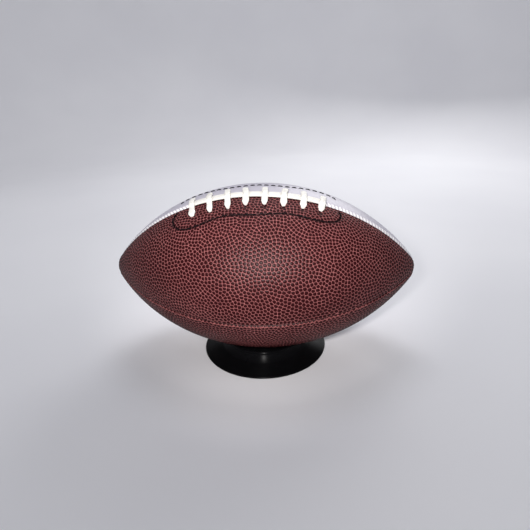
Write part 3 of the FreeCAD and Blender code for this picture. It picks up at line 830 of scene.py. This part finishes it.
def stand_ring(material):
    """The moulded ring and its web, turned from the same outline as the node, with eased edges."""
    z = STAND
    ease = 0.25
    well_foot, foot = (z["well"] + ease, 0), (z["foot"], 0)
    top, crease = (z["foot"], z["foot_height"]), (z["crease"], z["crease_height"])
    neck, lip = (z["neck"], z["neck_height"]), (z["neck"], z["lip_height"])
    lip_inner = (z["lip_inner"], z["lip_height"])
    groove_in, groove_out = z["groove_in"], z["groove_out"]
    outline = straight(well_foot, (groove_in - ease, 0), 3)
    outline += straight((groove_in - ease, 0), (groove_in, ease), 2)
    outline += straight((groove_in, ease), (groove_in, z["groove"]), 3)
    outline += straight((groove_in, z["groove"]), (groove_out, z["groove"]), 12)
    outline += straight((groove_out, z["groove"]), (groove_out, ease), 3)
    outline += straight((groove_out, ease), (groove_out + ease, 0), 2)
    outline += straight((groove_out + ease, 0), foot, 4)
    outline += bulge(foot, top, z["foot_edge"], True, 12)
    outline += bulge(top, crease, z["flare"], False, 30)
    outline += bulge(crease, neck, z["neck_arc"], False, 20)
    outline += straight(neck, lip, 4)
    outline += bulge(lip, lip_inner, z["lip"], True, 18)
    outline += straight(lip_inner, (z["well"], z["web_top"] + 2 * ease), 8)
    outline += straight((z["well"], z["web_top"] + 2 * ease), (z["well"] - 2 * ease, z["web_top"]), 3)
    outline += straight((z["well"] - 2 * ease, z["web_top"]), (0.3, z["web_top"]), 14)
    outline += straight((0.3, z["web_top"]), (0.3, z["web_foot"]), 2)
    outline += straight((0.3, z["web_foot"]), (z["well"], z["web_foot"]), 8)
    outline += straight((z["well"], z["web_foot"]), (z["well"], ease), 3)
    outline += straight((z["well"], ease), well_foot, 2)
    outline = np.array(outline) * MM
    around = 288
    turns = np.linspace(0, 2 * math.pi, around, endpoint=False)
    radius, height = outline[:, 0], outline[:, 1]
    rings = np.stack(
        [
            radius[None] * np.cos(turns)[:, None],
            radius[None] * np.sin(turns)[:, None],
            np.repeat(height[None], around, axis=0),
        ],
        -1,
    )
    rings = np.concatenate([rings, rings[:1]])
    vertices, faces = tube(rings, closed_ends=False)
    count = around * len(outline)
    faces = [[i % count for i in face] for face in faces]
    obj = new_object("ring_stand", vertices[:count], faces, material)
    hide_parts("stand_ring")
    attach(obj, "stand")


# ------------------------------------------------------------------ camera, floor and light
CAMERA_AZIMUTH = math.radians(6.58)
CAMERA_ELEVATION = math.radians(22.45)
CAMERA_ROLL = math.radians(2.18)
CAMERA_DISTANCE = 0.4088
CAMERA_AIM = 2.79 * MM
CAMERA_LENS = 29.14


def placed(data, place, target, roll=0.0):
    """A camera or light at a place, looking at a target."""
    obj = bpy.data.objects.new(data.name, data)
    bpy.context.scene.collection.objects.link(obj)
    place = Vector(place)
    turn = (Vector(target) - place).to_track_quat("-Z", "Y").to_matrix().to_4x4()
    obj.matrix_world = Matrix.Translation(place) @ turn @ Matrix.Rotation(roll, 4, "Z")
    bpy.context.view_layer.update()
    return obj


def camera():
    """The photograph's view of the ball."""
    centre = Vector((0, 0, BALL_HEIGHT))
    back = Vector((
        math.sin(CAMERA_AZIMUTH) * math.cos(CAMERA_ELEVATION),
        -math.cos(CAMERA_AZIMUTH) * math.cos(CAMERA_ELEVATION),
        math.sin(CAMERA_ELEVATION),
    ))
    data = bpy.data.cameras.new("camera")
    data.lens = CAMERA_LENS
    data.sensor_width = 36
    data.clip_start = 0.01
    aim = centre + Vector((CAMERA_AIM, 0, 0))
    obj = placed(data, centre + back * CAMERA_DISTANCE, aim, -CAMERA_ROLL)
    bpy.context.scene.camera = obj
    return obj


def area_light(name, place, target, size, watts, colour=(1, 1, 1)):
    """A round soft light."""
    data = bpy.data.lights.new(name, "AREA")
    data.shape = "DISK"
    data.size = size
    data.energy = watts
    data.color = colour
    placed(data, place, target)


def key_light(place, target):
    """A small soft spot beside the camera, wide enough for the ball and its stand."""
    data = bpy.data.lights.new("key", "SPOT")
    data.energy = 8.7
    data.color = (1.0, 0.97, 0.95)
    data.shadow_soft_size = 0.015
    data.spot_size = math.radians(55)
    data.spot_blend = 1.0
    placed(data, place, target)


def floor():
    """A pale round sweep: flat under the stand, curving up into a wall all round."""
    material, tree, shader = new_material("floor_finish")
    tone = object_noise(tree, 3.0, 2.0)
    colour = ramp(tree, tone, [(0.3, (0.78, 0.775, 0.80)), (0.7, (0.82, 0.815, 0.835))])
    tree.links.new(colour, shader.inputs["Base Color"])
    shader.inputs["Roughness"].default_value = 0.75
    flat, bend, height = 1.3, 0.9, 2.6
    flat_rings, sides = 12, 96
    turns = np.linspace(0, math.pi / 2, 24)
    flat_radii = np.linspace(0.02, flat, flat_rings)
    radius = np.concatenate([flat_radii, flat + bend * np.sin(turns), [flat + bend]])
    rise = np.concatenate([np.zeros(flat_rings), bend * (1 - np.cos(turns)), [height]])
    around = np.linspace(0, 2 * math.pi, sides, endpoint=False)
    rings = np.stack(
        [
            radius[:, None] * np.cos(around)[None],
            radius[:, None] * np.sin(around)[None],
            np.repeat(rise[:, None], sides, axis=1),
        ],
        -1,
    )
    vertices, faces = tube(rings, closed_ends=False)
    faces.append(list(range(sides)))
    obj = new_object("floor", vertices, faces, material)


def world():
    """A dim, even, slightly cool surround."""
    scene_world = bpy.data.worlds.new("studio")
    scene_world.use_nodes = True
    background = scene_world.node_tree.nodes["Background"]
    background.inputs["Color"].default_value = (0.93, 0.95, 1.0, 1)
    background.inputs["Strength"].default_value = 0.24
    bpy.context.scene.world = scene_world


# ------------------------------------------------------------------ the scene
bpy.context.scene.view_settings.view_transform = "Standard"
view_camera = camera()
finishes = {
    "stand_plastic": gloss_black(),
    "pebbled_leather": pebbled_leather(),
    "white_leather": white_leather(),
    "lining_fabric": woven("lining_fabric_finish", (0.45, 0.41, 0.33), (0.66, 0.62, 0.53)),
    "bladder_rubber": mottled("bladder_rubber_finish", (0.035, 0.035, 0.035), (0.06, 0.06, 0.06), 0.5),
    "valve_rubber": mottled(
        "valve_rubber_finish", (0.05, 0.045, 0.04), (0.085, 0.08, 0.075), 0.6, 700.0
    ),
    "facing_leather": mottled("facing_leather_finish", (0.28, 0.19, 0.12), (0.42, 0.3, 0.2), 0.8),
    "lace_vinyl": lace_vinyl(),
    "dark_thread": thread("dark_thread_finish", (0.001, 0.001, 0.0015), (0.004, 0.004, 0.006)),
    "seam_thread": thread("seam_thread_finish", (0.30, 0.26, 0.2), (0.5, 0.45, 0.38)),
}
finish_hidden_nodes(finishes)
floor()
world()

coarse = 1.0
for order, (cover, pebbled) in enumerate(zip(COVERS, (True, True, False, False))):
    finish = finishes["pebbled_leather" if pebbled else "white_leather"]
    cover_panel(cover, order * math.pi / 2, pebbled, finish, SEED + order, coarse)
draws = random.Random(SEED)
for cross_index, cross_place in enumerate(cross_places()):
    lace_cross(cross_index, cross_place, finishes["lace_vinyl"], draws)
lace_long_run(finishes["lace_vinyl"])
facing_stitches("facing_stitches_front", 1, finishes["dark_thread"])
facing_stitches("facing_stitches_rear", -1, finishes["dark_thread"])
valve_mouth(finishes["valve_rubber"])
stand_ring(finishes["stand_plastic"])

ball_centre = Vector((0, 0, BALL_HEIGHT))
beside_camera = view_camera.matrix_world @ Vector((-0.035, 0.012, 0))
key_light(beside_camera, ball_centre + Vector((0, 0, 0.03)))
area_light("overhead", (0.0, -0.25, 1.6), ball_centre, 1.2, 4.6, (0.95, 0.97, 1.0))
area_light("backdrop", (0.0, 0.5, 1.5), (0.0, 1.5, 0.2), 0.8, 9.5, (0.95, 0.96, 1.0))
area_light("back_fill", (0.5, 1.3, 0.9), ball_centre, 1.0, 6.5)

bpy.context.view_layer.update()
